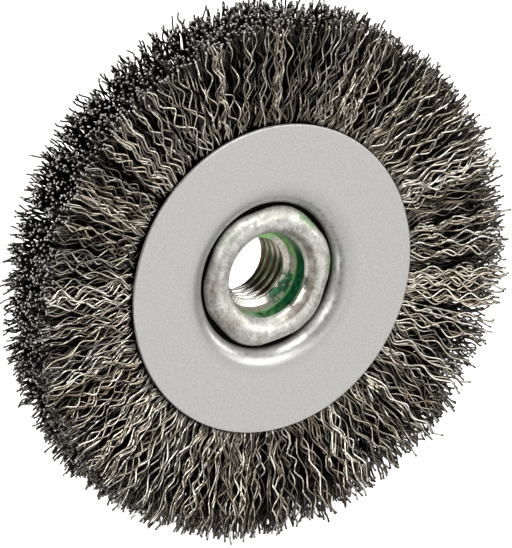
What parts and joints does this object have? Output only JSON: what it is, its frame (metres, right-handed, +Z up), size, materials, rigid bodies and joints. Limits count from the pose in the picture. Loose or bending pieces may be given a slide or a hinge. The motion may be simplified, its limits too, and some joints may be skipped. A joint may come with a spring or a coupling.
{
  "type": "crimped wire wheel brush",
  "caption": "Crimped steel wire wheel brush for an angle grinder: wire fill gripped between two pressed discs on a threaded hub nut.",
  "frame": {"origin": "on the spin axis, midway between the outer faces of the two flange discs", "axes": "+Y along the spin axis towards the grinder, so the front face with the swaged collar looks towards -Y; +Z up"},
  "size_m": [0.1, 0.0171, 0.1],
  "materials": {
    "painted_steel": "satin light grey paint on pressed sheet",
    "zinc_plated_steel": "bright zinc plate, forged and swaged, with traces of green thread lacquer",
    "bare_steel": "bare turned and drawn steel",
    "brush_wire": "bare drawn and crimped steel wire"
  },
  "bodies": {
    "root": {"front_flange_disc": "painted_steel", "rear_flange_disc": "painted_steel", "hub_nut": "zinc_plated_steel", "spacer_ring": "bare_steel", "core_ring": "bare_steel", "wire_bundle_01": "brush_wire", "wire_bundle_02": "brush_wire", "wire_bundle_03": "brush_wire", "wire_bundle_04": "brush_wire", "wire_bundle_05": "brush_wire", "wire_bundle_06": "brush_wire", "wire_bundle_07": "brush_wire", "wire_bundle_08": "brush_wire", "wire_bundle_09": "brush_wire", "wire_bundle_10": "brush_wire", "wire_bundle_11": "brush_wire", "wire_bundle_12": "brush_wire", "wire_bundle_13": "brush_wire", "wire_bundle_14": "brush_wire", "wire_bundle_15": "brush_wire", "wire_bundle_16": "brush_wire", "wire_bundle_17": "brush_wire", "wire_bundle_18": "brush_wire", "wire_bundle_19": "brush_wire", "wire_bundle_20": "brush_wire"}
  },
  "joints": []
}
